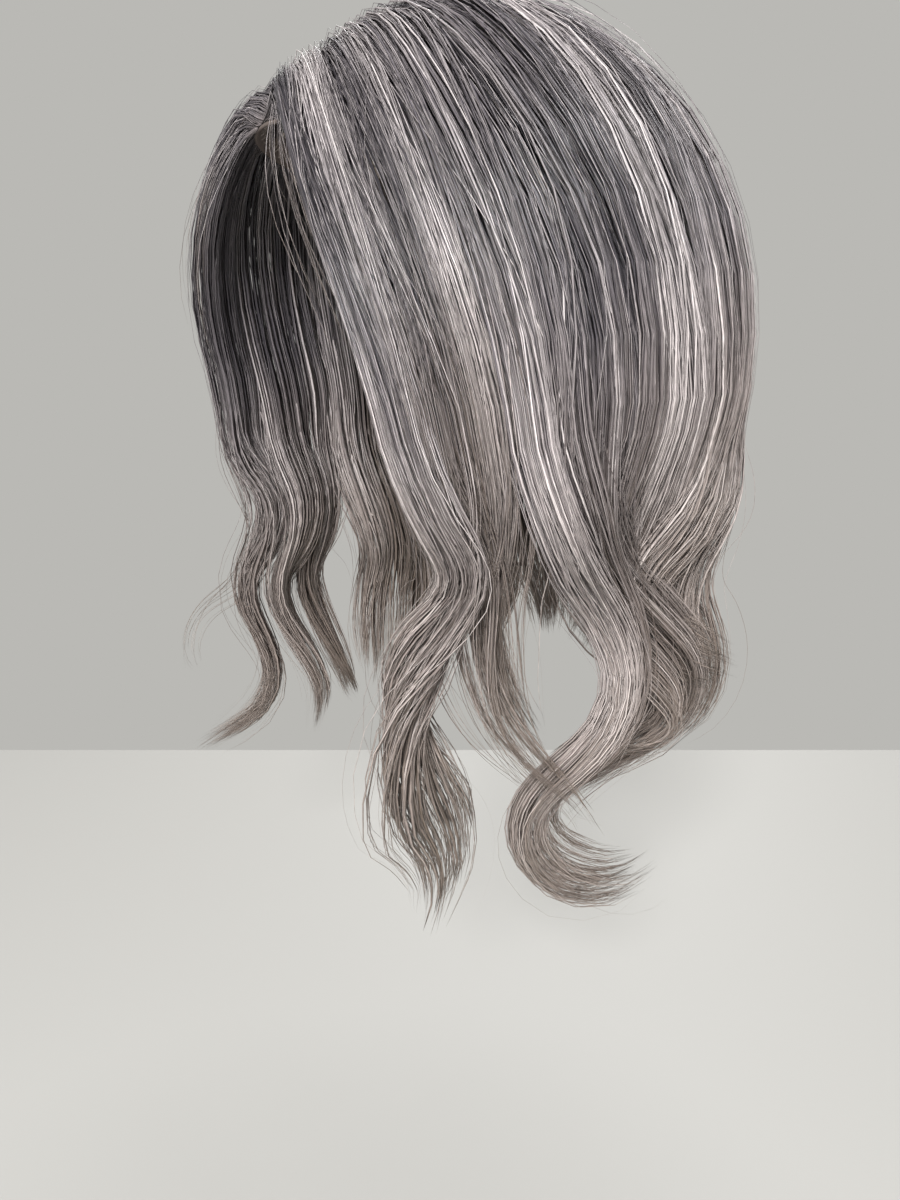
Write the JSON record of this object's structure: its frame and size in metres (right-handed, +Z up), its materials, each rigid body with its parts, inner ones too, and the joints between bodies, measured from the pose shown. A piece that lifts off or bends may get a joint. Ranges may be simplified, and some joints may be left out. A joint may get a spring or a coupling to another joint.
{
  "type": "hair topper",
  "caption": "Hair topper: wavy silver-grey hair falling in locks from a centre part over a dome of net with snap clips, worn on the crown of the head.",
  "frame": {"origin": "top of the scalp, where the middle of the net's underside sits", "axes": "+Z up, the wearer faces -Y, the wearer's left is +X"},
  "size_m": [0.1984, 0.2091, 0.2731],
  "materials": {
    "net": "matt",
    "clip": "satin",
    "hair": "silky"
  },
  "bodies": {
    "root": {"net_base": "net", "clip_front": "clip", "clip_left": "clip", "clip_right": "clip", "clip_back": "clip", "lock_left_01": "hair", "lock_left_02": "hair", "lock_left_03": "hair", "lock_left_04": "hair", "lock_left_05": "hair", "lock_left_06": "hair", "lock_left_07": "hair", "lock_left_08": "hair", "lock_left_09": "hair", "lock_left_10": "hair", "lock_right_01": "hair", "lock_right_02": "hair", "lock_right_03": "hair", "lock_right_04": "hair", "lock_right_05": "hair", "lock_right_06": "hair", "lock_right_07": "hair", "lock_right_08": "hair", "lock_right_09": "hair", "lock_right_10": "hair"}
  },
  "joints": []
}
